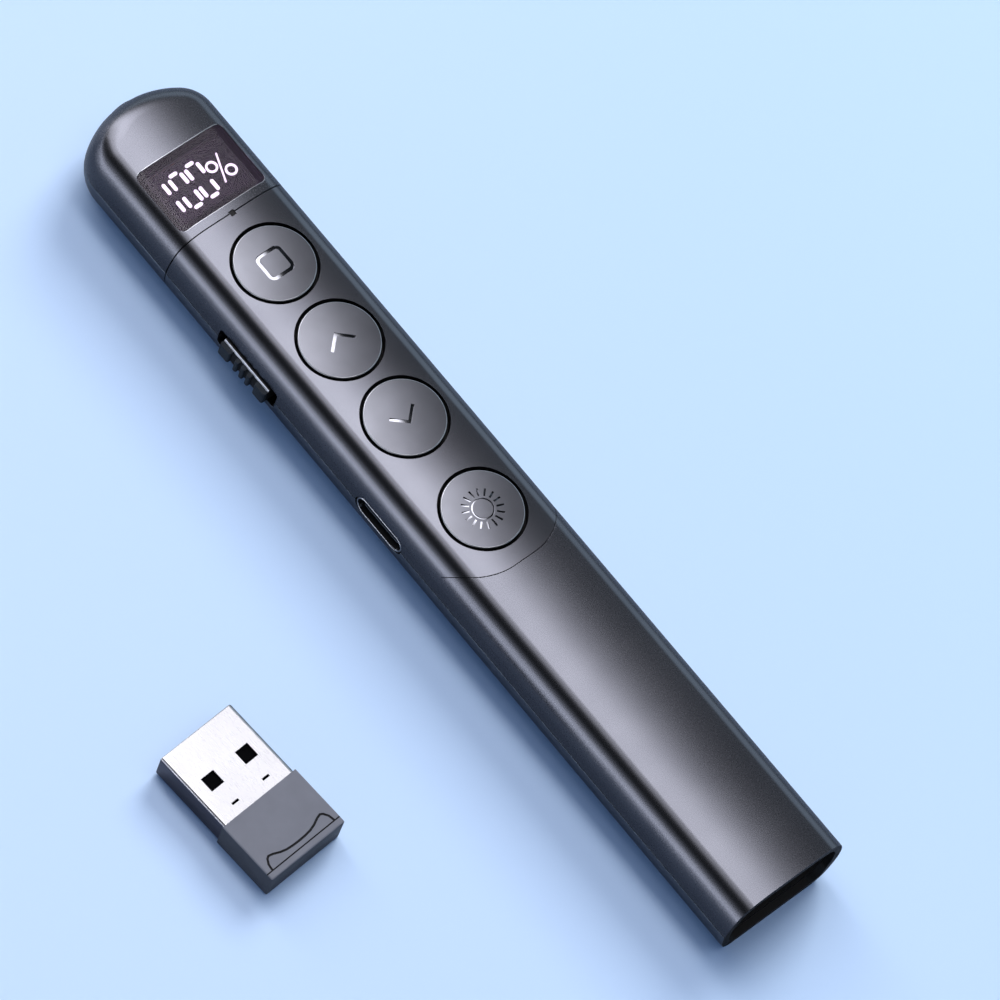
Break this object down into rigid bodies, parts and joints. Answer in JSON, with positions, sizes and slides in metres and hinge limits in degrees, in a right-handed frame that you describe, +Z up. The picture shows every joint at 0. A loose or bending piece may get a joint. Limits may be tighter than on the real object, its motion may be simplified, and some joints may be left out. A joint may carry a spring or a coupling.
{
  "type": "wireless presentation clicker",
  "caption": "Slim handheld slide clicker with round thumb keys, a small charge display, a side power switch, a charging port, and a plug-in receiver that stows in its tail.",
  "frame": {"origin": "middle of the flat underside of the clicker, on the surface it lies on", "axes": "+X to the nose of the clicker, +Y to the side with the switch and the port, +Z up"},
  "size_m": [0.1336, 0.0619, 0.0123],
  "materials": {
    "upper_paint": "metallic paint on moulded plastic, satin",
    "lower_paint": "metallic paint on moulded plastic, satin",
    "panel_paint": "metallic paint on moulded plastic, satin",
    "key_metal": "anodised, fine spun face, bright turned edge",
    "window_glass": "dark tinted, polished",
    "display_black": "black moulded",
    "display_light": "lit segments",
    "light_pipe": "dark clear moulded",
    "led_body": "moulded",
    "pin_metal": "bright plated",
    "black_plastic": "moulded, fine texture",
    "lens_red": "polished",
    "brass_barrel": "turned",
    "lead_red": "smooth insulation",
    "board_green": "solder mask, semi-gloss",
    "switch_steel": "pressed sheet",
    "chip_black": "moulded",
    "battery_foil": "foil pouch",
    "foam": "soft adhesive foam",
    "knob_plastic": "satin moulded",
    "slider_nylon": "moulded",
    "port_steel": "bright plated",
    "magnet_nickel": "nickel plated",
    "screw_steel": "zinc plated",
    "cap_plastic": "metallic paint on moulded plastic, satin",
    "plug_steel": "bright nickel-plated sheet",
    "contact_gold": "gold plated"
  },
  "bodies": {
    "clicker": {"head_top_cover": "upper_paint", "head_bottom_cover": "lower_paint", "main_top_shell": "upper_paint", "main_bottom_shell": "lower_paint", "key_panel": "panel_paint", "neck_ring": "black_plastic", "display_window": "window_glass", "display_module": "display_black", "display_segments": "display_light", "display_pins": "pin_metal", "status_light": "light_pipe", "status_led": "led_body", "laser_bezel": "black_plastic", "laser_lens": "lens_red", "laser_barrel": "brass_barrel", "laser_leads": "lead_red", "main_board": "board_green", "tact_switches": "switch_steel", "tact_plungers": "black_plastic", "board_chips": "chip_black", "battery": "battery_foil", "battery_pad": "foam", "battery_leads": "lead_red", "switch_case": "switch_steel", "port_shell": "port_steel", "port_tongue": "black_plastic", "bay_liner": "black_plastic", "bay_magnet": "magnet_nickel", "screws": "screw_steel"},
    "screen_key": {"screen_key": "key_metal"},
    "forward_key": {"forward_key": "key_metal"},
    "back_key": {"back_key": "key_metal"},
    "spotlight_key": {"spotlight_key": "key_metal"},
    "power_switch": {"switch_knob": "knob_plastic", "switch_slider": "slider_nylon"},
    "receiver": {"receiver_cap": "cap_plastic", "receiver_plug": "plug_steel", "receiver_tongue": "black_plastic", "receiver_contacts": "contact_gold", "receiver_board": "board_green"}
  },
  "joints": [
    {"name": "screen_key_press", "type": "slide", "parent": "clicker", "child": "screen_key", "axis": [0, 0, -1], "range_m": [0, 0.0004], "stiffness_N_per_m": 3000, "springref_m": -0.0001},
    {"name": "forward_key_press", "type": "slide", "parent": "clicker", "child": "forward_key", "axis": [0, 0, -1], "range_m": [0, 0.0004], "stiffness_N_per_m": 3000, "springref_m": -0.0001},
    {"name": "back_key_press", "type": "slide", "parent": "clicker", "child": "back_key", "axis": [0, 0, -1], "range_m": [0, 0.0004], "stiffness_N_per_m": 3000, "springref_m": -0.0001},
    {"name": "spotlight_key_press", "type": "slide", "parent": "clicker", "child": "spotlight_key", "axis": [0, 0, -1], "range_m": [0, 0.0004], "stiffness_N_per_m": 3000, "springref_m": -0.0001},
    {"name": "power_switch_slide", "type": "slide", "parent": "clicker", "child": "power_switch", "axis": [1, 0, 0], "range_m": [-0.001, 0.001]},
    {"name": "receiver_slide", "type": "slide", "parent": "clicker", "child": "receiver", "axis": [0.9978, 0.0663, 0], "range_m": [0, 0.02]}
  ]
}
